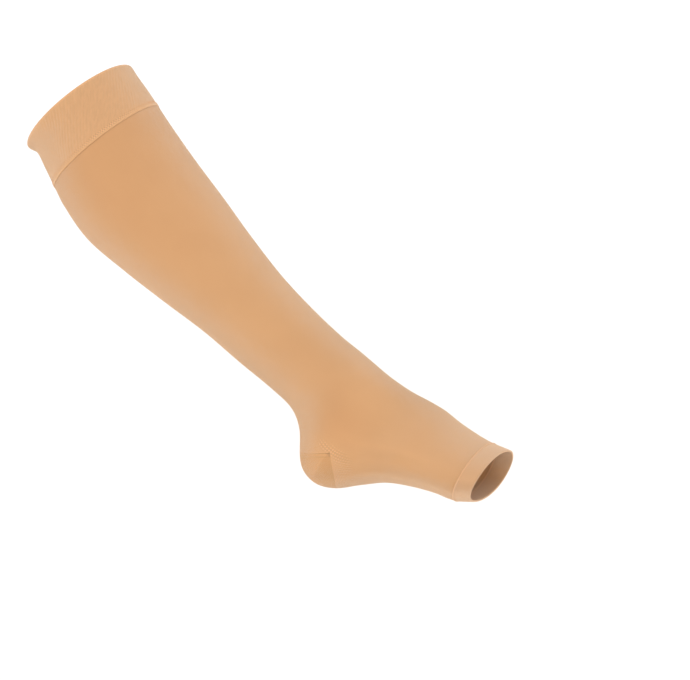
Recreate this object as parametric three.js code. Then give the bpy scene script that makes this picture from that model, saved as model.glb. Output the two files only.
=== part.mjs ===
// A knee-high compression stocking, open at the toes, in the hollow form that it has when worn.
// Millimetres, +Z up. The leg and foot lie along the plane Y = 0: the leg slants down towards +X
// and the pointed foot carries on in that direction. It is a right one, so its outer side faces -Y.
// The origin is inside the ribbed top band, on the middle line of the leg that holds it.

import * as THREE from "three";

// Walls: cloth thicknesses, and the gap that parts two pieces at a seam
const LEG_WALL = 1.2;
const HEEL_WALL = 1.5;
const BAND_WALL = 1.6;
const TOE_WALL = 1.5;
const SEAM_GAP = 0.3;

// Ribbed top band
const BAND_LENGTH = 40;
const RIBS = 100;
const RIB_HEIGHT = 0.7;
const RIB_LEAN = 29; // degrees that a rib turns round the leg from the top edge to the seam
const BAND_ROWS = 6;

// The leg's turned upper edge, stitched over the band: a ridge
const RIDGE_WIDTH = 4;
const RIDGE_HEIGHT = 0.9;
const RIDGE_SHOULDER = 0.25; // share of a ridge's width in each of its slopes

// Heel pocket, knitted in: angles are measured round the section from the middle of the back
const POCKET_HALF_ANGLE = 72;
const POCKET_TIP = 1.2; // degrees by which the pocket stops short of its corner
const POCKET_CORNER = 383.2; // distances along the middle line
const POCKET_TOP = 361.2;
const POCKET_FRONT = 403;
const POCKET_TOP_CURVE = 2.8;
const POCKET_FRONT_CURVE = 3.1;

// Toe band and the thin ridge of its seam
const TOE_BAND_LENGTH = 16;
const TOE_RIDGE_WIDTH = 1.4;
const TOE_RIDGE_HEIGHT = 0.6;

// Fineness of the walls
const COLUMNS_ROUND = 50;
const LEG_ROWS = 15;
const HEEL_ROWS = 7;
const FOOT_ROWS = 9;
const TOE_BAND_ROWS = 3;
const NORMAL_STEP = 0.5; // millimetres and degrees to the points that give the surface's direction
const NORMAL_TURN = 0.5;

// Sections across the stocking, from the top edge to the toe edge.
// x, z: the section's middle. tilt: degrees that its front lies above its back.
// depth: back to front. width: side to side. backFull: how much fuller the back is than the front.
// shift: how far the front's crest leans to the inner side. skew: how far the outer side lies
// towards the knee. square: 2 is an ellipse, and more is squarer.
const SECTION_COLUMNS = ["name", "x", "z", "tilt", "depth", "width", "backFull", "shift", "skew", "square"];
const SECTIONS = [
  ["top edge", -11.3, 14.7, 40, 115, 113, 0.02, 0, -1, 2],
  ["lip", -3.9, 8.2, 39, 110, 111, 0.02, 0, -2, 2],
  ["band", 4.5, -4.4, 38.7, 112.4, 110, 0.03, 0, -3, 2],
  ["band seam", 14.8, -20.8, 39.2, 115.4, 111, 0.05, 0, -4, 2],
  ["below the band", 25.7, -37.6, 38.2, 117.3, 112, 0.08, 0, -3, 2],
  ["calf", 48.7, -67.2, 37, 116.5, 113, 0.1, 0, -2, 2],
  ["lower calf", 79.1, -97.1, 37, 107, 106, 0.1, 0, 0, 2],
  ["taper", 107.3, -124.1, 37, 95.9, 92, 0.06, 0, 0, 2],
  ["shin", 142.2, -155.5, 37, 83.2, 78, 0.02, 0, 0, 2],
  ["lower shin", 172.8, -182.6, 37, 78.7, 69, -0.04, 0, 0, 2],
  ["ankle", 200.8, -205.3, 38, 75.9, 63, -0.06, 0, 0, 2],
  ["lower ankle", 219, -220.3, 40, 77.7, 64, -0.05, 0, 0, 2],
  ["ankle bend", 227.9, -233.4, 43, 86, 68, -0.04, 1, 0, 2.05],
  ["heel", 235.8, -254.3, 46, 108.8, 68, 0, 2, 0, 2.1],
  ["lower heel", 246.8, -264.9, 49, 113.1, 66, 0.06, 3, 0, 2.15],
  ["sole", 261.6, -270.3, 51, 106.3, 66, 0.12, 4, 0, 2.2],
  ["arch", 280.4, -272, 51.5, 92, 70, 0.16, 5, 0, 2.2],
  ["instep", 298.6, -274.3, 53, 77, 76, 0.16, 6, 0, 2.2],
  ["mid foot", 316.6, -280.4, 56, 64.8, 82, 0.14, 6, 0, 2.2],
  ["ball", 334.9, -287.3, 60, 56.9, 86, 0.12, 5, 0, 2.2],
  ["toe seam", 350.1, -293.5, 63.5, 54, 87, 0.1, 4, 0.3, 2.2],
  ["toe edge", 366.8, -296.7, 62, 48.8, 84, 0.08, 3, 1, 2.2],
].map((row) => Object.fromEntries(SECTION_COLUMNS.map((column, i) => [column, row[i]])));

const radians = THREE.MathUtils.degToRad;

// Distance of each section along the middle line
const DISTANCES = [0];
for (let i = 1; i < SECTIONS.length; i++) {
  const before = SECTIONS[i - 1];
  const step = Math.hypot(SECTIONS[i].x - before.x, SECTIONS[i].z - before.z);
  DISTANCES.push(DISTANCES[i - 1] + step);
}
const LAST = SECTIONS.length - 1;
const TOE_EDGE = DISTANCES[LAST];
const TOE_SEAM = TOE_EDGE - TOE_BAND_LENGTH;

// How fast a column of the table changes at one of its rows
function slopeAt(row, column) {
  const before = Math.max(row - 1, 0);
  const after = Math.min(row + 1, LAST);
  return (SECTIONS[after][column] - SECTIONS[before][column]) / (DISTANCES[after] - DISTANCES[before]);
}

// The section at a distance along the middle line, with each column smooth from row to row
function sectionAt(distance) {
  let row = 0;
  while (row < LAST - 1 && distance > DISTANCES[row + 1]) row++;
  const span = DISTANCES[row + 1] - DISTANCES[row];
  const t = (distance - DISTANCES[row]) / span;
  const toNext = t * t * (3 - 2 * t);
  const leaving = t * (1 - t) * (1 - t) * span;
  const arriving = t * t * (t - 1) * span;
  const section = {};
  for (const column of SECTION_COLUMNS.slice(1)) {
    const from = SECTIONS[row][column];
    const to = SECTIONS[row + 1][column];
    section[column] =
      from + (to - from) * toNext + slopeAt(row, column) * leaving + slopeAt(row + 1, column) * arriving;
  }
  return section;
}

// Cosine or sine drawn out towards a square
function squared(value, square) {
  return Math.sign(value) * Math.abs(value) ** (2 / square);
}

// A point of the smooth outer form. The angle is 0 at the back or sole, 90 at the outer side
// and 180 at the shin or instep.
function formPoint(distance, angle) {
  const s = sectionAt(distance);
  const tilt = radians(s.tilt);
  const toFront = squared(-Math.cos(radians(angle)), s.square);
  const toOuter = squared(Math.sin(radians(angle)), s.square);
  const along = (s.depth / 2) * toFront;
  const down = -s.skew * toOuter;
  return new THREE.Vector3(
    s.x + Math.cos(tilt) * along + Math.sin(tilt) * down,
    -(s.width / 2) * toOuter * (1 - s.backFull * toFront) + (s.shift * (1 + toFront)) / 2,
    s.z + Math.sin(tilt) * along - Math.cos(tilt) * down,
  );
}

// The outward direction of the form at a point
function formNormal(distance, angle) {
  const down = formPoint(distance + NORMAL_STEP, angle).sub(formPoint(distance - NORMAL_STEP, angle));
  const round = formPoint(distance, angle + NORMAL_TURN).sub(formPoint(distance, angle - NORMAL_TURN));
  return down.cross(round).normalize();
}

// A point raised off the form, or sunk into it by a negative height
function raisedPoint(distance, angle, height) {
  return formPoint(distance, angle).addScaledVector(formNormal(distance, angle), height);
}

// A grid of points, rows down the stocking and columns round it
function grid(rows, columns, pointOf) {
  return Array.from({ length: rows + 1 }, (_, row) =>
    Array.from({ length: columns }, (_, column) => pointOf(row / rows, column)),
  );
}

// A mesh's geometry from triangles of points
function geometryOf(triangles) {
  const geometry = new THREE.BufferGeometry().setFromPoints(triangles.flat());
  geometry.computeVertexNormals();
  return geometry;
}

// Triangles over a grid, facing out of the stocking, or into it when reversed
function skin(points, goesRound, reversed) {
  const columns = points[0].length;
  const strips = goesRound ? columns : columns - 1;
  const triangles = [];
  for (let row = 0; row + 1 < points.length; row++) {
    for (let column = 0; column < strips; column++) {
      const next = (column + 1) % columns;
      const [above, below] = [points[row], points[row + 1]];
      const corners = [above[column], below[column], below[next], above[next]];
      if (reversed) corners.reverse();
      triangles.push([corners[0], corners[1], corners[2]], [corners[0], corners[2], corners[3]]);
    }
  }
  return triangles;
}

// Triangles that join an outer edge to the inner edge beside it, point for point
function rim(outerEdge, innerEdge, goesRound, reversed) {
  return skin([innerEdge, outerEdge], goesRound, reversed);
}

// A closed wall between an outer and an inner grid of the same size
function wall(outer, inner, goesRound) {
  const last = outer.length - 1;
  const triangles = [
    ...skin(outer, goesRound, false),
    ...skin(inner, goesRound, true),
    ...rim(outer[0], inner[0], goesRound, false),
    ...rim(outer[last], inner[last], goesRound, true),
  ];
  if (!goesRound) {
    const end = outer[0].length - 1;
    const side = (points, column) => points.map((row) => row[column]);
    triangles.push(
      ...rim(side(outer, 0), side(inner, 0), false, true),
      ...rim(side(outer, end), side(inner, end), false, false),
    );
  }
  return geometryOf(triangles);
}

// Angles of the columns round the leg and foot: even ones, and the two at the pocket's tips
const POCKET_END = POCKET_HALF_ANGLE - POCKET_TIP;
const ROUND_ANGLES = Array.from({ length: COLUMNS_ROUND }, (_, i) => (i * 360) / COLUMNS_ROUND)
  .concat([POCKET_END, 360 - POCKET_END])
  .sort((a, b) => a - b);

// An angle as the turn from the middle of the back, either way
function turnFromBack(angle) {
  return Math.min(angle, 360 - angle);
}

// Where the pocket's upper and front edges lie at an angle: they meet at its corners
function pocketTop(angle) {
  const share = Math.min(turnFromBack(angle) / POCKET_HALF_ANGLE, 1);
  return POCKET_TOP + (POCKET_CORNER - POCKET_TOP) * share ** POCKET_TOP_CURVE;
}

function pocketFront(angle) {
  const share = Math.min(turnFromBack(angle) / POCKET_HALF_ANGLE, 1);
  return POCKET_FRONT + (POCKET_CORNER - POCKET_FRONT) * share ** POCKET_FRONT_CURVE;
}

// A round piece between two edges, each a function of the angle. Evenly spaced rows follow the rows
// of a ridge at its start, which give how far on they lie and how high they stand.
function tubeGeometry({ startOf, endOf, rows, thickness, ridge = [] }) {
  const length = endOf(180) - startOf(180);
  const raisedRows = ridge.map(({ from, height }) => ({ share: from / length, height }));
  const ridgeEnd = raisedRows.length ? raisedRows.at(-1).share : -1;
  const evenRows = Array.from({ length: rows + 1 }, (_, row) => ({ share: row / rows, height: 0 }));
  const allRows = [...raisedRows, ...evenRows.filter(({ share }) => share > ridgeEnd)];
  const points = (heightOf) =>
    allRows.map((row) =>
      ROUND_ANGLES.map((angle) => {
        const distance = THREE.MathUtils.lerp(startOf(angle), endOf(angle), row.share);
        return raisedPoint(distance, angle, heightOf(row));
      }),
    );
  return wall(points((row) => row.height), points(() => -thickness), true);
}

// The rows of a ridge with a flat crest
function ridgeRows(width, height) {
  return [
    { from: 0, height: height / 2 },
    { from: RIDGE_SHOULDER * width, height },
    { from: (1 - RIDGE_SHOULDER) * width, height },
    { from: width, height: 0 },
  ];
}

const MATERIALS = {
  knit: new THREE.MeshStandardMaterial({ color: 0xd9a878, roughness: 0.85, metalness: 0 }),
  heelKnit: new THREE.MeshStandardMaterial({ color: 0xd0a073, roughness: 0.88, metalness: 0 }),
  ribKnit: new THREE.MeshStandardMaterial({ color: 0xdcb086, roughness: 0.9, metalness: 0 }),
  hemKnit: new THREE.MeshStandardMaterial({ color: 0xdcb28a, roughness: 0.85, metalness: 0 }),
};

function piece(name, geometry, material) {
  const mesh = new THREE.Mesh(geometry, material);
  mesh.name = name;
  return mesh;
}

// The ribbed band: two outer columns to a rib, its valley and its crest, over a plain inside
function topBand() {
  const end = BAND_LENGTH - SEAM_GAP / 2;
  const angleOf = (share, ribs) => (ribs * 360) / RIBS - RIB_LEAN * share;
  const outer = grid(BAND_ROWS, 2 * RIBS, (share, column) =>
    raisedPoint(end * share, angleOf(share, column / 2), column % 2 ? RIB_HEIGHT : 0),
  );
  const inner = grid(BAND_ROWS, RIBS, (share, column) =>
    raisedPoint(end * share, angleOf(share, column), -BAND_WALL),
  );
  return geometryOf([
    ...skin(outer, true, false),
    ...skin(inner, true, true),
    ...ribbedRim(outer[0], inner[0], false),
    ...ribbedRim(outer[BAND_ROWS], inner[BAND_ROWS], true),
  ]);
}

// Triangles from a ribbed edge to the plain edge inside it, three to a rib
function ribbedRim(outerEdge, innerEdge, reversed) {
  const triangles = [];
  for (let rib = 0; rib < RIBS; rib++) {
    const next = (rib + 1) % RIBS;
    const valley = outerEdge[2 * rib];
    const crest = outerEdge[2 * rib + 1];
    const nextValley = outerEdge[2 * next];
    triangles.push(
      [innerEdge[rib], valley, crest],
      [innerEdge[rib], crest, innerEdge[next]],
      [innerEdge[next], crest, nextValley],
    );
  }
  return reversed ? triangles.map((corners) => corners.reverse()) : triangles;
}

// The leg, from its turned edge over the band's seam to the ankle bend and the heel pocket's top
function leg() {
  return tubeGeometry({
    startOf: () => BAND_LENGTH + SEAM_GAP / 2,
    endOf: (angle) => pocketTop(angle) - SEAM_GAP / 2,
    rows: LEG_ROWS,
    thickness: LEG_WALL,
    ridge: ridgeRows(RIDGE_WIDTH, RIDGE_HEIGHT),
  });
}

// The heel pocket: a cup between its upper edge and its front edge, closed off at its tips
function heelPocket() {
  const half = ROUND_ANGLES.filter((angle) => angle <= POCKET_END);
  const angles = [...half.slice(1).reverse().map((angle) => 360 - angle), ...half];
  const at = (share, angle) => {
    const top = pocketTop(angle) + SEAM_GAP / 2;
    return top + (pocketFront(angle) - SEAM_GAP / 2 - top) * share;
  };
  const points = (height) =>
    grid(HEEL_ROWS, angles.length, (share, column) =>
      raisedPoint(at(share, angles[column]), angles[column], height),
    );
  return wall(points(0), points(-HEEL_WALL), false);
}

// The foot, from the ankle bend and the pocket's front to the toe band
function foot() {
  return tubeGeometry({
    startOf: (angle) => pocketFront(angle) + SEAM_GAP / 2,
    endOf: () => TOE_SEAM - SEAM_GAP / 2,
    rows: FOOT_ROWS,
    thickness: LEG_WALL,
  });
}

// The toe band, with the thin ridge of its seam, open at its free edge
function toeBand() {
  return tubeGeometry({
    startOf: () => TOE_SEAM + SEAM_GAP / 2,
    endOf: () => TOE_EDGE,
    rows: TOE_BAND_ROWS,
    thickness: TOE_WALL,
    ridge: ridgeRows(TOE_RIDGE_WIDTH, TOE_RIDGE_HEIGHT),
  });
}

const stocking = new THREE.Group();
stocking.add(
  piece("top_band", topBand(), MATERIALS.ribKnit),
  piece("leg", leg(), MATERIALS.knit),
  piece("heel", heelPocket(), MATERIALS.heelKnit),
  piece("foot", foot(), MATERIALS.knit),
  piece("toe_band", toeBand(), MATERIALS.hemKnit),
);

export default stocking;
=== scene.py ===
"""A worn knee-high compression stocking, open at the toes: its knitted cloth, heel pocket, ribbed
band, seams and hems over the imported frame, in metres, with a plain studio round it."""

import math

import bpy
import numpy as np
from bpy.props import FloatProperty, FloatVectorProperty, IntProperty, PointerProperty
from mathutils import Matrix, Vector


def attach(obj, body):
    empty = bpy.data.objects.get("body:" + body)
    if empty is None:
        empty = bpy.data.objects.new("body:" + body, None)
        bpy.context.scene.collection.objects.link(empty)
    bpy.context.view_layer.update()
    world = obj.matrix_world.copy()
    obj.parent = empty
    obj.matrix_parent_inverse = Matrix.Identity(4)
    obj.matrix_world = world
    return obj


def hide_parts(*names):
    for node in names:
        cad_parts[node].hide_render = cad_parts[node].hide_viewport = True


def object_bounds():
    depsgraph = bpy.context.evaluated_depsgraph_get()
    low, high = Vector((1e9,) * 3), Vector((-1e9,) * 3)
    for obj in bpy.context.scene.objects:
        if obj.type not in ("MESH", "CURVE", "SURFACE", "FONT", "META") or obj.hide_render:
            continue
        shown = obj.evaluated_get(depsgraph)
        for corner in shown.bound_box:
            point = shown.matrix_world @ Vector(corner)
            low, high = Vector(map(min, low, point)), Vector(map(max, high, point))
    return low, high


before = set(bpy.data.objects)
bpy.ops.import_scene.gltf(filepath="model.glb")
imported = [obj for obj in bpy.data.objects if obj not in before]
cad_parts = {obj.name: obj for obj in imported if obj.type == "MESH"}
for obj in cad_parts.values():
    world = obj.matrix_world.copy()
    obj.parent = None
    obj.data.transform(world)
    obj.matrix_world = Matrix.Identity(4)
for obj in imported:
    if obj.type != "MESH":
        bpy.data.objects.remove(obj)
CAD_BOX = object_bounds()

bl_info = {
    "name": "Compression Stocking",
    "version": (1, 0, 0),
    "blender": (4, 5, 0),
    "location": "View3D > Sidebar > Stocking",
    "description": "Builds a knitted compression stocking in its worn form, piece by piece",
    "category": "Add Mesh",
}

MM = 0.001


# Sizes and colours that a maker would change


def length(name, description, default):
    """A length in metres, for a group of properties."""
    return FloatProperty(
        name=name, description=description, default=default, min=0, precision=5, unit="LENGTH"
    )


def linear(*shown):
    """The light of a colour given as a screen shows it, 0 to 255."""
    shares = (value / 255 for value in shown)
    return tuple(s / 12.92 if s <= 0.04045 else ((s + 0.055) / 1.055) ** 2.4 for s in shares)


def colour(name, description, *shown):
    """A colour, for a group of properties."""
    return FloatVectorProperty(
        name=name, description=description, default=linear(*shown), min=0, max=1, subtype="COLOR"
    )


def power(name, description, default):
    """A light's power, for a group of properties."""
    return FloatProperty(name=name, description=description, default=default, unit="POWER")


class StockingSizes(bpy.types.PropertyGroup):
    """Thicknesses, seams and knit of the stocking."""

    leg_wall: length("Leg cloth", "Thickness of the leg's and foot's cloth", 1.2 * MM)
    heel_wall: length("Heel cloth", "Thickness of the heel pocket's cloth", 1.4 * MM)
    band_wall: length("Band cloth", "Thickness of the folded top band", 1.6 * MM)
    toe_wall: length("Toe hem", "Thickness of the folded toe band", 1.5 * MM)
    band_length: length("Band length", "Ribbed band from its top edge to its seam", 40 * MM)
    ribs: IntProperty(name="Ribs", description="Ribs round the top band", default=100, min=8)
    rib_height: length("Rib height", "How far a rib stands above its valleys", 0.12 * MM)
    rib_lean: FloatProperty(
        name="Rib lean",
        description="How far a rib turns round the leg from the top edge to the seam",
        default=math.radians(29),
        subtype="ANGLE",
    )
    seam_width: length("Seam width", "Strip that joins the band and the leg", 4.6 * MM)
    seam_height: length("Seam height", "How far the strip stands above the cloth", 0.55 * MM)
    stitches: IntProperty(
        name="Stitches", description="Stitches round the strip, in each row", default=150, min=20
    )
    toe_length: length("Toe band length", "Folded toe band from its seam to its edge", 16 * MM)
    toe_seam_width: length("Toe seam width", "Ridge at the toe band's seam", 1.4 * MM)
    toe_seam_height: length("Toe seam height", "How far that ridge stands out", 0.6 * MM)
    wales: IntProperty(
        name="Wales", description="Columns of loops round the stocking", default=400, min=40
    )
    course: length("Course", "Height of one row of loops", 0.7 * MM)


class StockingColours(bpy.types.PropertyGroup):
    """Yarn colours."""

    knit: colour("Knit", "Cloth of the foot and ankle", 222, 169, 119)
    # a darker colour of the cloth: over the upper leg, in random patches, and as painted shade on
    # the ankle's sides
    knit_shade: colour("Knit shade", "The same cloth where the calf stretches it", 210, 156, 107)
    heel: colour("Heel", "Cloth of the heel pocket", 219, 164, 111)
    heel_shade: colour("Heel shade", "The heel pocket's tighter part", 212, 157, 103)
    rib: colour("Rib", "Cloth of the top band", 224, 172, 124)
    hem: colour("Hem", "Cloth of the toe band", 233, 181, 134)
    seam: colour("Seam", "Strip and stitches between the band and the leg", 218, 168, 121)


class StockingStage(bpy.types.PropertyGroup):
    """The studio round the stocking."""

    floor_drop: length("Floor drop", "Floor below the stocking's lowest point", 0.5)
    floor_size: length("Floor size", "Side of the square floor", 30)
    focal_length: FloatProperty(
        name="Focal length", description="The camera's lens, in millimetres", default=147.3
    )
    key_power: power("Key light", "Soft light from above, on the shin side", 24)
    fill_power: power("Fill light", "Soft light from the calf side", 17)
    front_power: power("Front light", "Faint light from below the camera", 3)
    daylight: FloatProperty(name="Daylight", description="Even white light all round", default=1.12)


# The form: sections across the stocking from the top edge to the toe edge, as in the CAD.
# x, z: the section's middle. tilt: degrees that its front lies above its back. depth: back to
# front. width: side to side. back_full: how much fuller the back is than the front. shift: how
# far the front's crest leans to the inner side. skew: how far the outer side lies towards the
# knee. square: 2 is an ellipse, and more is squarer. Lengths here are in millimetres.

SECTIONS = {
    "top edge": (-11.3, 14.7, 40, 115, 113, 0.02, 0, -1, 2),
    "lip": (-3.9, 8.2, 39, 110, 111, 0.02, 0, -2, 2),
    "band": (4.5, -4.4, 38.7, 112.4, 110, 0.03, 0, -3, 2),
    "band seam": (14.8, -20.8, 39.2, 115.4, 111, 0.05, 0, -4, 2),
    "below the band": (25.7, -37.6, 38.2, 117.3, 112, 0.08, 0, -3, 2),
    "calf": (48.7, -67.2, 37, 116.5, 113, 0.1, 0, -2, 2),
    "lower calf": (79.1, -97.1, 37, 107, 106, 0.1, 0, 0, 2),
    "taper": (107.3, -124.1, 37, 95.9, 92, 0.06, 0, 0, 2),
    "shin": (142.2, -155.5, 37, 83.2, 78, 0.02, 0, 0, 2),
    "lower shin": (172.8, -182.6, 37, 78.7, 69, -0.04, 0, 0, 2),
    "ankle": (200.8, -205.3, 38, 75.9, 63, -0.06, 0, 0, 2),
    "lower ankle": (219, -220.3, 40, 77.7, 64, -0.05, 0, 0, 2),
    "ankle bend": (227.9, -233.4, 43, 86, 68, -0.04, 1, 0, 2.05),
    "heel": (235.8, -254.3, 46, 108.8, 68, 0, 2, 0, 2.1),
    "lower heel": (246.8, -264.9, 49, 113.1, 66, 0.06, 3, 0, 2.15),
    "sole": (261.6, -270.3, 51, 106.3, 66, 0.12, 4, 0, 2.2),
    "arch": (280.4, -272, 51.5, 92, 70, 0.16, 5, 0, 2.2),
    "instep": (298.6, -274.3, 53, 77, 76, 0.16, 6, 0, 2.2),
    "mid foot": (316.6, -280.4, 56, 64.8, 82, 0.14, 6, 0, 2.2),
    "ball": (334.9, -287.3, 60, 56.9, 86, 0.12, 5, 0, 2.2),
    "toe seam": (350.1, -293.5, 63.5, 54, 87, 0.1, 4, 0.3, 2.2),
    "toe edge": (366.8, -296.7, 62, 48.8, 84, 0.08, 3, 1, 2.2),
}
#                x   z  tilt depth width full shift skew square
IN_METRES = (MM, MM, 1, MM, MM, 1, MM, MM, 1)
TABLE = np.array(list(SECTIONS.values()), float) * IN_METRES
LAST = len(TABLE) - 1

# Distance of each section along the middle line, and how fast the columns change there
STEPS = np.hypot(np.diff(TABLE[:, 0]), np.diff(TABLE[:, 1]))
DISTANCES = np.concatenate([[0], np.cumsum(STEPS)])
BEFORE = np.maximum(np.arange(LAST + 1) - 1, 0)
AFTER = np.minimum(np.arange(LAST + 1) + 1, LAST)
SLOPES = (TABLE[AFTER] - TABLE[BEFORE]) / (DISTANCES[AFTER] - DISTANCES[BEFORE])[:, None]
TOE_EDGE = DISTANCES[LAST]

# Heel pocket: angles are measured round the section from the middle of the back
POCKET_HALF_ANGLE = 72
POCKET_CORNER = 383.2 * MM
POCKET_TOP = 361.2 * MM
POCKET_FRONT = 403 * MM
POCKET_TOP_CURVE = 2.8
POCKET_FRONT_CURVE = 3.1
GORE_CURVE = 0.21  # how far the pocket's turning line bends up towards its corners

# Soft creases, most of them behind the ankle on the inner side, in millimetres and degrees:
# distance along the middle line, angle, half its reach round the leg, how far it climbs over that
# reach, depth and width
CREASES = [
    (336.0, 333, 31, 2.6, 0.85, 1.9),
    (340.6, 345, 18, 0.8, 0.5, 1.2),
    (344.6, 330, 26, -1.6, 0.65, 1.6),
    (329.5, 302, 19, 3.2, 0.32, 2.6),
    (351.5, 334, 22, 1.2, 0.45, 2.0),
    (321.0, 335, 26, -1.0, 0.2, 3.0),
    (346.0, 236, 24, -3.8, 0.3, 2.8),
    (358.5, 226, 30, -3.0, 0.36, 2.6),
    (371.0, 212, 21, -1.2, 0.22, 3.2),
    (352.0, 133, 17, 2.4, 0.1, 3.2),
    (363.0, 140, 22, 3.0, 0.12, 3.4),
    (378.0, 322, 9, 13.0, 0.4, 3.2),
    (380.5, 309, 7, -10.0, 0.34, 2.8),
    (390.0, 334, 9, 8.0, 0.3, 3.0),
    (418.0, 300, 16, 2.0, 0.25, 3.0),
    (427.0, 312, 20, 1.0, 0.2, 3.4),
    (66.0, 8, 22, 1.5, 0.18, 4.5),
    (78.0, 350, 17, -2.0, 0.14, 4.0),
]
# The ridges beside each crease: how many of its widths away, and their share of its depth
CREASE_RIDGES = ((1.7, 0.4), (-1.8, 0.3))
SHADED_TROUGH = 0.5 * MM  # the depth from which a crease is shaded in full

# The tighter knit beside the heel pocket, in millimetres and degrees: distances and angles along
# its middle, and its reach
GRAIN = [
    (366, 69, 2.5),
    (371, 72, 4.5),
    (383, 74.5, 6),
    (391, 73, 8),
    (398, 69, 10),
    (403.5, 59, 10),
    (404, 47, 8),
    (402.5, 32, 4),
]
GRAIN_STEPS = 6  # spots from each of these to the next
GRAIN_CORE = 1.6  # how steeply its strength rises from its edge

# The leg's rows lie straight round it as far as here, and the foot's from there on. Between the
# two they bend towards the heel pocket's edges
STRAIGHT_ABOVE = 290 * MM
STRAIGHT_BELOW = 440 * MM

# Turns round a folded edge, from the inside of the cloth to its outside
FOLD = np.radians(np.linspace(-90, 90, 9)[1:-1])
FOLD_DEPTH = 0.8 * MM

# How unevenly the sewing pulls the strip: waves round the leg, where they start and their share
SEAM_PULLS = ((29, 0, 0.5), (47, 1, 0.3), (71, 2, 0.2))

# The strip's two rows of stitches: where they lie across it, how far round by shares of a stitch,
# how high on it, and which way they slant. A hollow runs along each row
STITCH_ROWS = ((0.18, 0, 0.5, -0.12), (0.48, 0.5, 0.78, 0.12))
STITCH_SIZE = (0.62 * MM, 0.42 * MM, 0.25 * MM)  # half its length, width and height
HOLLOW_DEPTH = 0.2  # share of the strip's height
HOLLOW_WIDTH = 0.07  # share of its width


def section_at(distance):
    """The table's columns at distances along the middle line, smooth from row to row."""
    row = np.clip(np.searchsorted(DISTANCES, distance) - 1, 0, LAST - 1)
    span = DISTANCES[row + 1] - DISTANCES[row]
    t = ((distance - DISTANCES[row]) / span)[..., None]
    span = span[..., None]
    to_next = t * t * (3 - 2 * t)
    leaving = t * (1 - t) ** 2 * span
    arriving = t * t * (t - 1) * span
    changed = TABLE[row + 1] - TABLE[row]
    return TABLE[row] + changed * to_next + SLOPES[row] * leaving + SLOPES[row + 1] * arriving


def squared(value, square):
    """A cosine or sine drawn out towards a square."""
    return np.sign(value) * np.abs(value) ** (2 / square)


def form_point(distance, angle):
    """Points of the smooth outer form. The angle is 0 at the back or sole, 90 at the outer side
    and 180 at the shin or instep."""
    x, z, tilt, depth, width, back_full, shift, skew, square = np.moveaxis(
        section_at(distance), -1, 0
    )
    tilt, turn = np.radians(tilt), np.radians(angle)
    to_front = squared(-np.cos(turn), square)
    to_outer = squared(np.sin(turn), square)
    along = depth / 2 * to_front
    down = -skew * to_outer
    return np.stack(
        [
            x + np.cos(tilt) * along + np.sin(tilt) * down,
            -width / 2 * to_outer * (1 - back_full * to_front) + shift * (1 + to_front) / 2,
            z + np.sin(tilt) * along - np.cos(tilt) * down,
        ],
        axis=-1,
    )


def form_normal(distance, angle):
    """The outward directions of the form at points."""
    down = form_point(distance + 0.5 * MM, angle) - form_point(distance - 0.5 * MM, angle)
    around = form_point(distance, angle + 0.5) - form_point(distance, angle - 0.5)
    out = np.cross(down, around)
    return out / np.linalg.norm(out, axis=-1, keepdims=True)


def raised(distance, angle, height):
    """Points raised off the form, or sunk into it by negative heights."""
    return form_point(distance, angle) + form_normal(distance, angle) * height[..., None]


def turn_from_back(angle):
    """Angles as turns from the middle of the back, either way."""
    turned = np.mod(angle, 360)
    return np.minimum(turned, 360 - turned)


def pocket_top(angle):
    """Where the pocket's upper edge lies at each angle."""
    share = np.minimum(turn_from_back(angle) / POCKET_HALF_ANGLE, 1)
    return POCKET_TOP + (POCKET_CORNER - POCKET_TOP) * share**POCKET_TOP_CURVE


def pocket_front(angle):
    """Where the pocket's front edge lies at each angle."""
    share = np.minimum(turn_from_back(angle) / POCKET_HALF_ANGLE, 1)
    return POCKET_FRONT + (POCKET_CORNER - POCKET_FRONT) * share**POCKET_FRONT_CURVE


def crease_height(distance, angle):
    """How far the soft creases lift or sink the cloth."""
    height = np.zeros_like(distance)
    for at, middle, reach, climb, depth, width in CREASES:
        turned = (np.mod(angle - middle + 180, 360) - 180) / reach
        fade = np.clip(1 - turned**2, 0, 1) ** 1.5
        away = (distance / MM - at - climb * turned) / width
        shape = -np.exp(-(away**2))
        for beside, share in CREASE_RIDGES:
            shape += share * np.exp(-((away - beside) ** 2))
        height += depth * MM * fade * shape
    return height


def trough_share(height):
    """How deep in a crease's trough points lie, 0 to 1."""
    return np.clip(-height / SHADED_TROUGH, 0, 1)


# Making pieces


def only(piece):
    """Selects one piece and nothing else."""
    bpy.ops.object.select_all(action="DESELECT")
    piece.select_set(True)
    bpy.context.view_layer.objects.active = piece


def cloth(name, distance, angle, height, turn=None, kept=None):
    """A piece of cloth that starts as a flat grid and is laid on the form: the rows of the
    arrays run down the stocking, and their columns round it. Its knit follows the map called
    knit, the turn round the stocking against the distance down it. Kept numbers stay with the
    points, for the finish."""
    rows, columns = distance.shape
    bpy.ops.object.select_all(action="DESELECT")
    bpy.ops.mesh.primitive_grid_add(
        x_subdivisions=columns - 1, y_subdivisions=rows - 1, size=1, location=(0, 0, 0)
    )
    piece = bpy.context.object
    piece.name = piece.data.name = name
    mesh = piece.data
    mesh.vertices.foreach_set("co", raised(distance, angle, height)[::-1].ravel())
    corners = np.empty(len(mesh.loops), np.int32)
    mesh.loops.foreach_get("vertex_index", corners)
    turn = angle / 360 if turn is None else turn
    places = np.stack([turn, distance], axis=-1)[::-1].reshape(-1, 2)
    mesh.uv_layers[0].name = "knit"
    mesh.uv_layers[0].uv.foreach_set("vector", places[corners].ravel().astype(np.float32))
    for number, values in (kept or {}).items():
        store = mesh.attributes.new(number, "FLOAT", "POINT")
        store.data.foreach_set("value", values[::-1].ravel().astype(np.float32))
    mesh.update()
    return piece


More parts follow.
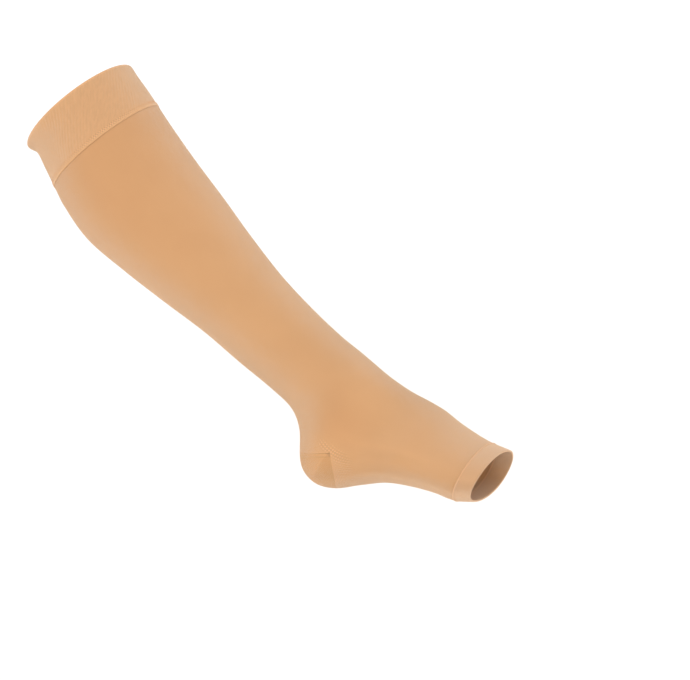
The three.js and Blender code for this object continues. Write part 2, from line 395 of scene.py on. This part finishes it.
def closed_up(piece):
    """Joins the edges that lie on each other."""
    only(piece)
    bpy.ops.object.mode_set(mode="EDIT")
    bpy.ops.mesh.select_all(action="SELECT")
    bpy.ops.mesh.remove_doubles(threshold=0.002 * MM)
    bpy.ops.object.mode_set(mode="OBJECT")
    return piece


def joined(name, *pieces):
    """One piece from several."""
    only(pieces[0])
    for piece in pieces[1:]:
        piece.select_set(True)
    bpy.ops.object.join()
    piece = bpy.context.object
    piece.name = piece.data.name = name
    return piece


def thickened(piece, thickness):
    """Gives an open cloth its wall, inwards."""
    only(piece)
    bpy.ops.object.modifier_add(type="SOLIDIFY")
    wall = piece.modifiers[-1]
    wall.thickness = thickness
    wall.offset = -1
    wall.use_quality_normals = True
    bpy.ops.object.modifier_apply(modifier=wall.name)
    return piece


def smoothed(piece, edge_angle=55):
    """Shades a piece smooth, but for sharp edges."""
    only(piece)
    bpy.ops.object.shade_smooth_by_angle(angle=math.radians(edge_angle))
    return piece


def gap_to(edge, distance, angle):
    """How far points of the form are from one of the heel pocket's edges."""
    points = form_point(distance, angle)
    along_edge = np.linspace(-POCKET_HALF_ANGLE, POCKET_HALF_ANGLE, 121)
    line = form_point(edge(along_edge), along_edge)
    nearest = np.full(distance.shape, np.inf)
    for start, end in zip(line[:-1], line[1:]):
        side = end - start
        share = np.clip((points - start) @ side / (side @ side), 0, 1)[..., None]
        nearest = np.minimum(nearest, np.linalg.norm(points - start - share * side, axis=-1))
    return nearest


def grain_strength(distance, angle):
    """How strongly the tighter knit beside the heel pocket shows, 0 to 1, on both sides."""
    points = form_point(distance, angle)
    strength = np.zeros_like(distance)
    for side in (1, -1):
        for (at, turned, reach), (next_at, next_turned, next_reach) in zip(GRAIN, GRAIN[1:]):
            for share in np.linspace(0, 1, GRAIN_STEPS + 1)[:-1]:
                down = np.array((1 - share) * at + share * next_at) * MM
                around = np.array(side * ((1 - share) * turned + share * next_turned))
                width = ((1 - share) * reach + share * next_reach) * MM
                away = np.linalg.norm(points - form_point(down, around), axis=-1) / width
                strength = np.maximum(strength, np.clip(GRAIN_CORE * (1 - away), 0, 1))
    return strength * strength * (3 - 2 * strength)


def dressed(piece, finish, slot, *nodes):
    """Gives a piece its finish, hangs it from the root and hides the CAD nodes that it stands for.
    """
    piece.data.materials.clear()
    piece.data.materials.append(finish.material)
    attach(piece, "root")
    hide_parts(*nodes)
    return piece


# Finishes: sums on wires add the shader nodes


class Wire:
    """An output of a shader node. Sums on wires add Math nodes to their finish."""

    def __init__(self, finish, socket):
        self.finish = finish
        self.socket = socket

    def math(self, operation, *others):
        """One Math node, fed by this wire and by others or numbers."""
        return self.finish.node("ShaderNodeMath", {"operation": operation}, [self, *others])

    def __add__(self, other):
        return self.math("ADD", other)

    __radd__ = __add__

    def __mul__(self, other):
        return self.math("MULTIPLY", other)

    __rmul__ = __mul__

    def __sub__(self, other):
        return self.math("SUBTRACT", other)

    def __rsub__(self, other):
        return self.finish.node("ShaderNodeMath", {"operation": "SUBTRACT"}, [other, self])

    def __truediv__(self, other):
        return self.math("DIVIDE", other)

    def __abs__(self):
        return self.math("ABSOLUTE")

    def fraction(self):
        """What is left after the whole number."""
        return self.math("FRACT")

    def wave(self):
        """From 0 to 1 and back, once for each whole number."""
        return 0.5 - 0.5 * (self * math.tau).math("COSINE")

    def rise(self, low, high):
        """From 0 at low to 1 at high, softly."""
        return self.finish.node(
            "ShaderNodeMapRange",
            {"interpolation_type": "SMOOTHSTEP"},
            {"Value": self, "From Min": low, "From Max": high},
        )

    def line(self, at, half_width):
        """1 along a value and 0 beyond half a line's width from it."""
        return 1 - abs(self - at).rise(0, half_width)


class Finish:
    """A material whose surface is one Principled shader."""

    def __init__(self, name, uniform=None):
        self.material = bpy.data.materials.new(name)
        self.material.use_nodes = True
        self.nodes = self.material.node_tree.nodes
        self.links = self.material.node_tree.links
        self.shader = self.nodes["Principled BSDF"]
        for socket, value in (uniform or {}).items():
            self.shader.inputs[socket].default_value = value

    def node(self, kind, settings, inputs, output=0):
        """Adds a node: its settings first, then its sockets' values and links."""
        made = self.nodes.new(kind)
        for setting, value in settings.items():
            setattr(made, setting, value)
        numbered = inputs.items() if isinstance(inputs, dict) else enumerate(inputs)
        for socket, value in numbered:
            self.feed(made.inputs[socket], value)
        return Wire(self, made.outputs[output])

    def feed(self, socket, value):
        """Links a wire to a socket, or sets the socket's value."""
        if isinstance(value, Wire):
            self.links.new(value.socket, socket)
        elif socket.type == "RGBA":
            socket.default_value = (*value, 1)
        else:
            socket.default_value = value

    def layered(self, base, *layers):
        """A colour with others laid over it in turn, each by its share."""
        for shade, share in layers:
            inputs = {0: share, 6: base, 7: shade}
            base = self.node("ShaderNodeMix", {"data_type": "RGBA"}, inputs, 2)
        return base

    def knit_map(self):
        """The turn round the stocking, and the distance down it in metres."""
        place = self.node("ShaderNodeUVMap", {"uv_map": "knit"}, [])
        return [self.node("ShaderNodeSeparateXYZ", {}, [place], way) for way in (0, 1)]

    def stored(self, name):
        """A number kept with each point of the mesh."""
        return self.node("ShaderNodeAttribute", {"attribute_name": name}, [], "Fac")

    def noise(self, place, scale, detail):
        """Soft uneven patches, 0 to 1, over a place."""
        inputs = {"Vector": place, "Scale": scale, "Detail": detail}
        return self.node("ShaderNodeTexNoise", {}, inputs, "Fac")

    def clouds(self, scale, detail=2):
        """Soft uneven patches, as many to a metre as the scale says."""
        return self.noise(self.node("ShaderNodeTexCoord", {}, [], "Object"), scale, detail)

    def streaks(self, round_count, down_count):
        """Uneven streaks along the wales: as many round the stocking, and to a metre down it."""
        turn, down = self.knit_map()
        inputs = [turn * round_count, down * down_count, 0]
        return self.noise(self.node("ShaderNodeCombineXYZ", {}, inputs), 1, 2)

    def fuzz(self, least, spread, scale=900):
        """The roughness of yarn, a little uneven."""
        return least + self.clouds(scale) * spread

    def surface(self, base, roughness, *reliefs):
        """Feeds the shader: reliefs are pairs of a height from 0 to 1 and its depth in metres."""
        self.feed(self.shader.inputs["Base Color"], base)
        self.feed(self.shader.inputs["Roughness"], roughness)
        normal = None
        for height, depth in reliefs:
            inputs = {"Height": height, "Distance": depth, "Strength": 1}
            if normal:
                inputs["Normal"] = normal
            normal = self.node("ShaderNodeBump", {}, inputs)
        if normal:
            self.feed(self.shader.inputs["Normal"], normal)
        return self


LOOP_DEPTH = 0.2 * MM  # the relief of the knit's loops, and of the lines and holes in it
LOOP_SHADE = 0.16  # how much of the shaded colour lies between the loops
TROUGH_SHADE = 0.16  # and how much of it in the deepest creases
SHADED = 0.55  # the shaded colour: how much of the cloth's own light it has


def scaled(shade, share):
    """A colour with the given share of its light, which may be more than 1."""
    return tuple(part * share for part in shade)


def cloth_finish(context, name, sheen=0.72):
    """A finish with the sheen of fine yarn, and the sizes and colours that it goes by."""
    uniform = {
        "Sheen Weight": sheen,
        "Sheen Roughness": 0.4,
        "Sheen Tint": (1, 0.94, 0.82, 1),
        "Specular IOR Level": 0.3,
    }
    scene = context.scene
    return Finish(name, uniform), scene.stocking_sizes, scene.stocking_colours


def loops(turn, down, wales, course):
    """The height of plain knitted loops: each wale has two legs that lean together."""
    side = abs((turn * wales).fraction() * 2 - 1)
    legs = (side * math.pi).math("SINE")
    lean = 0.42  # how far a leg's outer side lies behind its inner side, in courses
    swell = (down / course + side * lean).wave()
    return legs * (0.55 + 0.45 * swell)


def leg_finish(context):
    """The plain knit of the leg and foot."""
    finish, sizes, colours = cloth_finish(context, "plain_knit")
    turn, down = finish.knit_map()
    beside = 360 * (0.5 - abs(turn - 0.5))  # degrees from the middle of the back or sole
    height = loops(turn, down, sizes.wales, sizes.course)
    # the tighter knit beside the heel pocket: a net of small loops
    net_wales, net_course = 130, 2.15 * MM
    net = ((turn * net_wales).wave() * (down / net_course).wave()).rise(0.1, 0.6)
    grain = finish.stored("grain") * finish.clouds(230).rise(0.28, 0.56)
    pocket_edge = finish.stored("to_pocket").line(0.7 * MM, 0.8 * MM)
    # painted shadows: dark lines below the strip's lower edge and beside the toe band's ridge
    line_width = 0.7 * MM
    seam_shadow_line = down.line(sizes.band_length + sizes.seam_width + 0.4 * MM, line_width)
    toe_shadow_line = down.line(TOE_EDGE - sizes.toe_length - 0.5 * MM, line_width)
    # darker over the upper leg, fading out by the lower calf; painted shade on the ankle's sides,
    # painted sheen towards the toes and painted light along the foot's lower sides
    calf = 1 - down.rise(50 * MM, 260 * MM)
    ankle = beside.line(96, 36) * down.line(372 * MM, 50 * MM)
    painted_toe_sheen = down.rise(420 * MM, 500 * MM)
    painted_sole_light = beside.line(66, 26) * down.rise(385 * MM, 410 * MM)
    patches, streaks = finish.clouds(22, 3).rise(0.35, 0.7), finish.streaks(260, 14).rise(0.3, 0.8)
    uneven = patches + streaks * 0.4
    # painted shade between the loops and in the creases' troughs, painted shadow lines by the
    # seams, and the darker ground between the net's loops
    shade = (1 - height) * LOOP_SHADE + finish.stored("trough") * TROUGH_SHADE
    shade = shade + seam_shadow_line * 0.43 + toe_shadow_line * 0.06 + grain * (1 - net) * 0.075
    base = finish.layered(
        colours.knit,
        (colours.knit_shade, calf * 0.75 + uneven * 0.18),
        # painted sheen towards the toes
        (colours.hem, painted_toe_sheen * 0.4),
        # painted light along the foot's lower sides
        (scaled(colours.heel, 1.14), painted_sole_light * 0.8),
        # painted shade on the ankle's sides
        (colours.knit_shade, ankle * 0.75),
        (scaled(colours.knit, 1.18), grain * net + pocket_edge * 0.18),
        (scaled(colours.knit, SHADED), shade),
    )
    relief = (height, LOOP_DEPTH), (grain * net, LOOP_DEPTH), (finish.clouds(50), 0.25 * MM)
    return finish.surface(base, finish.fuzz(0.78, 0.14), *relief)


def heel_finish(context):
    """The tighter knit of the heel pocket, with its gore line at each side."""
    finish, sizes, colours = cloth_finish(context, "heel_knit", sheen=0.55)
    turn, down = finish.knit_map()
    beside = abs(turn * 360)  # degrees from the middle of the heel
    height = loops(turn, down, sizes.wales, sizes.course)
    to_top, to_front, gore = (finish.stored(name) for name in ("to_top", "to_front", "gore"))
    # fine dark lines: under the upper edge, fainter a little below it, and where the front ends
    upper = to_top.line(0.1 * MM, 0.7 * MM) * beside.rise(52, 66)
    lower = to_top.line(3.3 * MM, 0.8 * MM) * beside.rise(50, 60) * 0.4
    front_end = to_front.line(0, 1.1 * MM) * beside.line(39.5, 4)
    edges = upper + lower + front_end
    corner = beside.rise(67.5, 70.5)
    # lighter lines: along the gore, and between the two dark ones
    gore_line = gore.line(0.5, 0.035) * beside.rise(28, 44)
    between = to_top.line(1.7 * MM, 1 * MM)
    # the darker wedge in front of the gore
    wedge = gore.rise(0.53, 0.59) * beside.rise(14, 42)
    # painted shade between the loops and in the creases' troughs, with the dark seam lines and the
    # darker ends at the pocket's corners
    shade = (1 - height) * LOOP_SHADE + finish.stored("trough") * TROUGH_SHADE
    shade = shade + edges * 0.3 + corner * 0.45
    base = finish.layered(
        colours.heel,
        (colours.heel_shade, wedge * 0.8 + finish.clouds(40, 3) * 0.2),
        (scaled(colours.heel, 1.15), gore_line * 0.25 + between * 0.3),
        (scaled(colours.heel, 0.5), shade),
    )
    relief = (height, LOOP_DEPTH), (1 - edges, LOOP_DEPTH), (finish.clouds(60), 0.3 * MM)
    return finish.surface(base, finish.fuzz(0.8, 0.12), *relief)


def rib_finish(context):
    """The ribbed knit of the top band, with a painted highlight along its folded edge."""
    finish, sizes, colours = cloth_finish(context, "rib_knit")
    turn, down = finish.knit_map()
    wales_in_a_rib = 4
    height = loops(turn, down, sizes.ribs * wales_in_a_rib, sizes.course)
    rib_valley_shade = abs((turn * sizes.ribs).fraction() * 2 - 1).line(0, 0.4)
    uneven = finish.streaks(sizes.ribs * 1.6, 210).rise(0.38, 0.62)
    fold_highlight = down.line(0.9 * MM, 1.3 * MM)
    base = finish.layered(
        colours.rib,
        (scaled(colours.rib, 0.955), uneven),
        # painted shade between the loops and in some valleys between the ribs
        (scaled(colours.rib, SHADED), (1 - height) * LOOP_SHADE + rib_valley_shade * uneven * 0.05),
        # painted highlight along the folded edge
        (scaled(colours.rib, 1.12), fold_highlight * 0.8),
    )
    relief = (height, LOOP_DEPTH), (finish.clouds(90), 0.3 * MM)
    return finish.surface(base, finish.fuzz(0.8, 0.14), *relief)


def seam_finish(context):
    """The strip between the band and the leg: slanting threads, and needle holes in two rows."""
    finish, sizes, colours = cloth_finish(context, "seam_strip")
    turn, down = finish.knit_map()
    threads_round, thread_width = 420, 1.3 * MM
    threads = (turn * threads_round + down / thread_width).wave()
    sewn = holes = 0
    for row, shift, *_ in STITCH_ROWS:
        along = down.line(sizes.band_length + row * sizes.seam_width, 0.8 * MM)
        sewn = along + sewn
        holes = along * (turn * sizes.stitches + shift).wave().rise(0.4, 0.8) + holes
    joining = down.rise(sizes.band_length - 0.4 * MM, sizes.band_length + 0.9 * MM)
    uneven = finish.streaks(170, 300).rise(0.3, 0.7)
    base = finish.layered(
        colours.rib,
        (colours.seam, joining),
        (scaled(colours.seam, 0.87), threads * 0.4 + uneven * 0.5),
        (scaled(colours.seam, 1.22), sewn),
        (scaled(colours.seam, 0.66), holes),
    )
    relief = (threads, 0.12 * MM), (1 - holes, LOOP_DEPTH)
    return finish.surface(base, finish.fuzz(0.75, 0.15, scale=700), *relief)


def thread_finish(context):
    """The twisted thread of the stitches."""
    finish, _, colours = cloth_finish(context, "thread")
    twist = finish.clouds(2600, 1).rise(0.35, 0.65)
    base = finish.layered(scaled(colours.seam, 1.2), (colours.seam, twist))
    return finish.surface(base, 0.6 + twist * 0.2, (twist, 0.08 * MM))


def hem_finish(context):
    """The knit of the toe band, with a painted highlight along the crest of its ridge."""
    finish, sizes, colours = cloth_finish(context, "hem_knit")
    turn, down = finish.knit_map()
    height = loops(turn, down, sizes.wales, sizes.course)
    ridge = TOE_EDGE - sizes.toe_length + sizes.toe_seam_width / 2
    base = finish.layered(
        colours.hem,
        (scaled(colours.hem, 0.97), finish.streaks(200, 60).rise(0.3, 0.7)),
        # painted shade between the loops
        (scaled(colours.hem, SHADED), (1 - height) * LOOP_SHADE),
        # painted highlight along the ridge's crest
        (scaled(colours.hem, 1.15), down.line(ridge, 0.9 * MM)),
    )
    relief = (height, LOOP_DEPTH), (finish.clouds(80), 0.3 * MM)
    return finish.surface(base, finish.fuzz(0.78, 0.14), *relief)


# Operators, one for each piece


def evenly(start, end, most):
    """Numbers from start to end with equal steps of at most the given size."""
    return np.linspace(start, end, math.ceil((end - start) / most) + 1)


def tube_part(name, rows, straight, edge, dip_at, dip_width, dip_depth):
    """The leg's or the foot's side of the knitted tube: its rows run from lying straight to the
    given edge of the heel pocket, and a seam presses a dip into it."""
    rows, angle = np.meshgrid(rows, np.arange(0, 361, 2.0), indexing="ij")
    bend = np.maximum((rows - straight) / (POCKET_CORNER - straight), 0)
    distance = rows + bend * (edge(angle) - POCKET_CORNER)
    creased = crease_height(distance, angle)
    height = creased - dip_depth * np.exp(-(((distance - dip_at) / dip_width) ** 2))
    kept = {
        "trough": trough_share(creased),
        "grain": grain_strength(distance, angle),
        "to_pocket": gap_to(edge, distance, angle),
    }
    return cloth(name, distance, angle, height, kept=kept)


class STOCKING_OT_leg(bpy.types.Operator):
    """Knit the leg and foot in one, round the place of the heel pocket"""

    bl_idname = "stocking.leg"
    bl_label = "Leg and Foot"
    bl_options = {"REGISTER", "UNDO"}

    def execute(self, context):
        sizes = context.scene.stocking_sizes
        seam = sizes.band_length + sizes.seam_width
        toe_seam = TOE_EDGE - sizes.toe_length
        # the rows are closest where the two seams press into the cloth
        leg_rows = [
            [sizes.band_length, seam - 2 * MM],
            seam + np.array([-0.7, -0.2, 0.1, 0.4, 0.7, 1.2, 2.1, 3.9]) * MM,
            evenly(seam + 6.5 * MM, STRAIGHT_ABOVE, 4 * MM),
            evenly(STRAIGHT_ABOVE, POCKET_CORNER, 1.15 * MM)[1:],
        ]
        foot_rows = [
            evenly(POCKET_CORNER, STRAIGHT_BELOW, 1.25 * MM),
            evenly(STRAIGHT_BELOW, toe_seam - 1.2 * MM, 2.4 * MM)[1:],
            toe_seam + np.array([-0.7, -0.3, 0, 0.4]) * MM,
        ]
        # the dip that each seam presses: where, how wide and how deep
        seam_dip = seam + 0.3 * MM, 0.4 * MM, 0.25 * MM
        toe_dip = toe_seam - 0.4 * MM, 0.5 * MM, 0.2 * MM
        leg = tube_part(
            "leg_part", np.concatenate(leg_rows), STRAIGHT_ABOVE, pocket_top, *seam_dip
        )
        foot = tube_part(
            "foot_part", np.concatenate(foot_rows), STRAIGHT_BELOW, pocket_front, *toe_dip
        )
        piece = closed_up(joined("knit_leg", leg, foot))
        smoothed(thickened(piece, sizes.leg_wall))
        dressed(piece, leg_finish(context), "plain_knit", "leg", "foot")
        return {"FINISHED"}


class STOCKING_OT_heel(bpy.types.Operator):
    """Knit the heel pocket between its upper and front edges"""

    bl_idname = "stocking.heel"
    bl_label = "Heel Pocket"
    bl_options = {"REGISTER", "UNDO"}

    def execute(self, context):
        sizes = context.scene.stocking_sizes
        around = np.arange(-POCKET_HALF_ANGLE, POCKET_HALF_ANGLE + 1, 2.0)
        share, angle = np.meshgrid(np.linspace(0, 1, 49), around, indexing="ij")
        distance = pocket_top(angle) + (pocket_front(angle) - pocket_top(angle)) * share
        height = crease_height(distance, angle)
        kept = {
            "trough": trough_share(height),
            "to_top": gap_to(pocket_top, distance, angle),
            "to_front": gap_to(pocket_front, distance, angle),
            "gore": share + GORE_CURVE * (turn_from_back(angle) / POCKET_HALF_ANGLE) ** 4,
        }
        piece = closed_up(cloth("heel_pocket", distance, angle, height, kept=kept))
        smoothed(thickened(piece, sizes.heel_wall))
        dressed(piece, heel_finish(context), "heel_knit", "heel")
        return {"FINISHED"}


class STOCKING_OT_top_band(bpy.types.Operator):
    """Knit the ribbed top band, folded double, with a rounded upper edge"""

    bl_idname = "stocking.top_band"
    bl_label = "Top Band"
    bl_options = {"REGISTER", "UNDO"}

    def execute(self, context):
        sizes = context.scene.stocking_sizes
        end = sizes.band_length
        # rows: round the folded edge, down the outside, up the inside and back to the first
        outer = np.concatenate([[0.9, 1.3, 2, 3], evenly(4.5, end / MM, 1.8)]) * MM
        inner = evenly(0.9 * MM, end, 5 * MM)[::-1]
        distance = np.concatenate([FOLD_DEPTH * (1 - np.cos(FOLD)), outer, inner])
        inside = np.concatenate([(1 - np.sin(FOLD)) / 2, outer * 0, inner * 0 + 1])
        full_height_at = 3 * MM  # the ribs grow out of the folded edge as far as here
        ribs_grow = np.clip(outer / full_height_at, 0, 1) ** 0.7
        crest = np.concatenate([FOLD * 0, ribs_grow, inner * 0])
        order = list(range(len(distance))) + [0]
        columns_in_a_rib = 8
        columns = sizes.ribs * columns_in_a_rib
        turns = np.arange(columns + 1) / columns
        distance, turn = np.meshgrid(distance[order], turns, indexing="ij")
        share = distance / end
        # the ribs lean more near the edge than near the seam
        lean = math.degrees(sizes.rib_lean) * share * (1.25 - 0.25 * share)
        rib = np.abs(np.cos(math.pi * sizes.ribs * turn)) ** 0.8
        raised_by = sizes.rib_height * crest[order][:, None] * rib
        height = raised_by - sizes.band_wall * inside[order][:, None]
        piece = closed_up(cloth("ribbed_band", distance, 360 * turn - lean, height, turn))
        smoothed(piece, edge_angle=70)
        dressed(piece, rib_finish(context), "rib_knit", "top_band")
        return {"FINISHED"}


def seam_pull(angle):
    """How unevenly the sewing pulls the strip, from -1 to 1 round the leg."""
    turn = np.radians(angle)
    return sum(share * np.sin(waves * turn + start) for waves, start, share in SEAM_PULLS)


class STOCKING_OT_band_seam(bpy.types.Operator):
    """Sew the band to the leg with a raised strip and two rows of stitches"""

    bl_idname = "stocking.band_seam"
    bl_label = "Band Seam"
    bl_options = {"REGISTER", "UNDO"}

    def execute(self, context):
        self.strip(context)
        self.stitches(context)
        return {"FINISHED"}

    def strip(self, context):
        """The raised strip, with a hollow along each row of stitches."""
        sizes = context.scene.stocking_sizes
        across = np.linspace(0, 1, 19)
        # it rises from the band's side, and is rounded off at both
        crown = np.clip(across / 0.6, 0, 1) ** 0.7 * np.sqrt(1 - np.abs(2 * across - 1) ** 5)
        for row, *_ in STITCH_ROWS:
            crown = crown - HOLLOW_DEPTH * np.exp(-(((across - row) / HOLLOW_WIDTH) ** 2))
        # its hidden underside lies in the cloth
        under, under_depth = np.array([0.95, 0.5, 0.05]), 0.6 * MM
        share = np.concatenate([across, under, [0]])
        lift = np.concatenate([crown * sizes.seam_height, under * 0 - under_depth, [0]])
        share, angle = np.meshgrid(share, np.arange(0, 361, 1.0), indexing="ij")
        # the sewing pulls it a little higher and lower, and its leg's side up and down the leg
        pull, most_up_or_down = seam_pull(angle), 0.22 * MM
        sunk, overlap = 0.05 * MM, 0.1 * MM
        height = lift[:, None] * (1 + 0.1 * pull) - sunk
        start = sizes.band_length - overlap
        distance = start + sizes.seam_width * share + most_up_or_down * pull * share**2
        piece = closed_up(cloth("seam_strip", distance, angle, height))
        smoothed(piece, edge_angle=60)
        dressed(piece, seam_finish(context), "rib_knit", "leg")

    def stitches(self, context):
        """Two rows of small loops of thread, sewn through the strip."""
        sizes = context.scene.stocking_sizes
        bpy.ops.mesh.primitive_uv_sphere_add(segments=8, ring_count=5, radius=1)
        stitch = context.object
        stitch.scale = STITCH_SIZE
        bpy.ops.object.transform_apply(scale=True)
        copies = []
        for row, shift, rise, slant in STITCH_ROWS:
            distance = np.array(sizes.band_length + row * sizes.seam_width)
            lift = sizes.seam_height * rise
            for number in range(sizes.stitches):
                angle = np.array(360 * (number - shift) / sizes.stitches)
                uneven = 0.1 * math.sin(2.4 * number)
                copies.append(self.placed(context, stitch, distance, angle, lift, slant + uneven))
        bpy.data.objects.remove(stitch)
        piece = smoothed(joined("seam_stitches", *copies))
        dressed(piece, thread_finish(context), "rib_knit", "leg")

    def placed(self, context, stitch, distance, angle, height, slant):
        """A copy of a stitch on the strip, turned along it."""
        along = form_point(distance, angle + 0.5) - form_point(distance, angle - 0.5)
        along, out = Vector(along).normalized(), Vector(form_normal(distance, angle))
        across = out.cross(along).normalized()
        along = (along + across * slant).normalized()
        across = out.cross(along).normalized()
        axes = Matrix((along, across, out)).transposed().to_4x4()
        spot = raised(distance, angle, np.array(height))
        copy = stitch.copy()
        copy.data = stitch.data.copy()
        copy.data.transform(Matrix.Translation(spot) @ axes)
        context.collection.objects.link(copy)
        return copy


class STOCKING_OT_toe_band(bpy.types.Operator):
    """Hem the toe opening with a folded band and the fine ridge of its seam"""

    bl_idname = "stocking.toe_band"
    bl_label = "Toe Band"
    bl_options = {"REGISTER", "UNDO"}

    def execute(self, context):
        sizes = context.scene.stocking_sizes
        wall, end = sizes.toe_wall, TOE_EDGE
        start = end - sizes.toe_length
        proud = 0.12 * MM  # how far the band's outside stands above the foot's cloth
        # rows: over the ridge, along the outside, round the fold and back along the inside
        ridge = np.linspace(0, 1, 9)
        crown = np.sin(math.pi * ridge) ** 0.7
        outer = evenly(start + sizes.toe_seam_width + 0.6 * MM, end - FOLD_DEPTH, 1.2 * MM)
        inner = evenly(start, end - FOLD_DEPTH, 3 * MM)[::-1]
        fold = FOLD[::-1]
        folded = proud - (wall + proud) * (1 - np.sin(fold)) / 2
        rows = [
            (start + sizes.toe_seam_width * ridge, crown * sizes.toe_seam_height),
            (outer, outer * 0 + proud),
            (end - FOLD_DEPTH * (1 - np.cos(fold)), folded),
            (inner, inner * 0 - wall),
            ([start], [0]),
        ]
        distance, lift = (np.concatenate(part) for part in zip(*rows))
        distance, angle = np.meshgrid(distance, np.arange(0, 361, 1.5), indexing="ij")
        height = np.broadcast_to(lift[:, None], angle.shape)
        piece = closed_up(cloth("toe_hem", distance, angle, height))
        smoothed(piece, edge_angle=60)
        dressed(piece, hem_finish(context), "hem_knit", "toe_band")
        return {"FINISHED"}


class STOCKING_OT_stage(bpy.types.Operator):
    """Set up the pale floor, the soft lights and the camera"""

    bl_idname = "stocking.stage"
    bl_label = "Stage"
    bl_options = {"REGISTER", "UNDO"}

    CAMERA = (1.0553, -2.2522, -0.0594)
    AIM = (0.2356, 0, -0.18505)
    # each square light: its place, the length of its side and its colour
    LIGHTS = {
        "key": ((3.5, -1.5, 2.6), 3, (1, 1, 1)),
        "fill": ((-3.4, -1.5, -0.4), 1, (1, 0.93, 0.83)),
        "front": ((0.6, -2.8, -0.58), 0.6, (1, 0.97, 0.92)),
    }
    FLOOR_SHADES = (0.98, 0.945, 0.9), (0.985, 0.95, 0.905)

    def execute(self, context):
        stage = context.scene.stocking_stage
        self.lay_floor(context, stage)
        world = bpy.data.worlds.new("studio")
        context.scene.world = world
        world.use_nodes = True
        daylight = world.node_tree.nodes["Background"].inputs
        daylight["Color"].default_value = (1, 1, 1, 1)
        daylight["Strength"].default_value = stage.daylight
        for name, (place, side, shade) in self.LIGHTS.items():
            bpy.ops.object.light_add(type="AREA", location=place, rotation=self.facing(place))
            light = context.object
            light.name = name
            light.data.size = side
            light.data.color = shade
            light.data.energy = getattr(stage, name + "_power")

        bpy.ops.object.camera_add(location=self.CAMERA, rotation=self.facing(self.CAMERA))
        camera = context.object
        camera.name = "camera"
        camera.data.lens = stage.focal_length
        camera.data.sensor_width = 36  # millimetres
        camera.data.clip_end = 100  # metres
        context.scene.camera = camera
        context.scene.view_settings.view_transform = "Standard"
        return {"FINISHED"}

    def lay_floor(self, context, stage):
        """A pale floor that is a little uneven in colour."""
        bpy.ops.object.select_all(action="DESELECT")
        level = CAD_BOX[0].z - stage.floor_drop
        bpy.ops.mesh.primitive_plane_add(size=stage.floor_size, location=(0, 0, level))
        floor = context.object
        floor.name = "floor"
        white = Finish("floor_white")
        dull, bright = self.FLOOR_SHADES
        shade = white.layered(dull, (bright, white.clouds(0.5)))
        white.surface(shade, 0.9)
        floor.data.materials.append(white.material)

    def facing(self, place):
        """The turn of a light or camera that looks at the stocking from a place."""
        towards = Vector(self.AIM) - Vector(place)
        return towards.to_track_quat("-Z", "Y").to_euler()


class STOCKING_PT_sidebar(bpy.types.Panel):
    """Pieces and sizes of the stocking."""

    bl_label = "Stocking"
    bl_idname = "STOCKING_PT_sidebar"
    bl_space_type = "VIEW_3D"
    bl_region_type = "UI"
    bl_category = "Stocking"

    def draw(self, context):
        for operator in OPERATORS:
            self.layout.operator(operator.bl_idname)
        for group in GROUPS:
            properties = getattr(context.scene, group)
            box = self.layout.box()
            box.label(text=group.split("_")[1].title())
            for name in type(properties).__annotations__:
                box.prop(properties, name)


OPERATORS = (
    STOCKING_OT_leg,
    STOCKING_OT_heel,
    STOCKING_OT_top_band,
    STOCKING_OT_band_seam,
    STOCKING_OT_toe_band,
    STOCKING_OT_stage,
)
GROUPS = {
    "stocking_sizes": StockingSizes,
    "stocking_colours": StockingColours,
    "stocking_stage": StockingStage,
}
CLASSES = (*GROUPS.values(), *OPERATORS, STOCKING_PT_sidebar)


def register():
    for made in CLASSES:
        bpy.utils.register_class(made)
    for name, group in GROUPS.items():
        setattr(bpy.types.Scene, name, PointerProperty(type=group))


def unregister():
    for name in GROUPS:
        delattr(bpy.types.Scene, name)
    for made in reversed(CLASSES):
        bpy.utils.unregister_class(made)


def main():
    """Builds every piece and the stage."""
    register()
    bpy.ops.stocking.leg()
    bpy.ops.stocking.heel()
    bpy.ops.stocking.top_band()
    bpy.ops.stocking.band_seam()
    bpy.ops.stocking.toe_band()
    bpy.ops.stocking.stage()


if __name__ == "__main__":
    main()
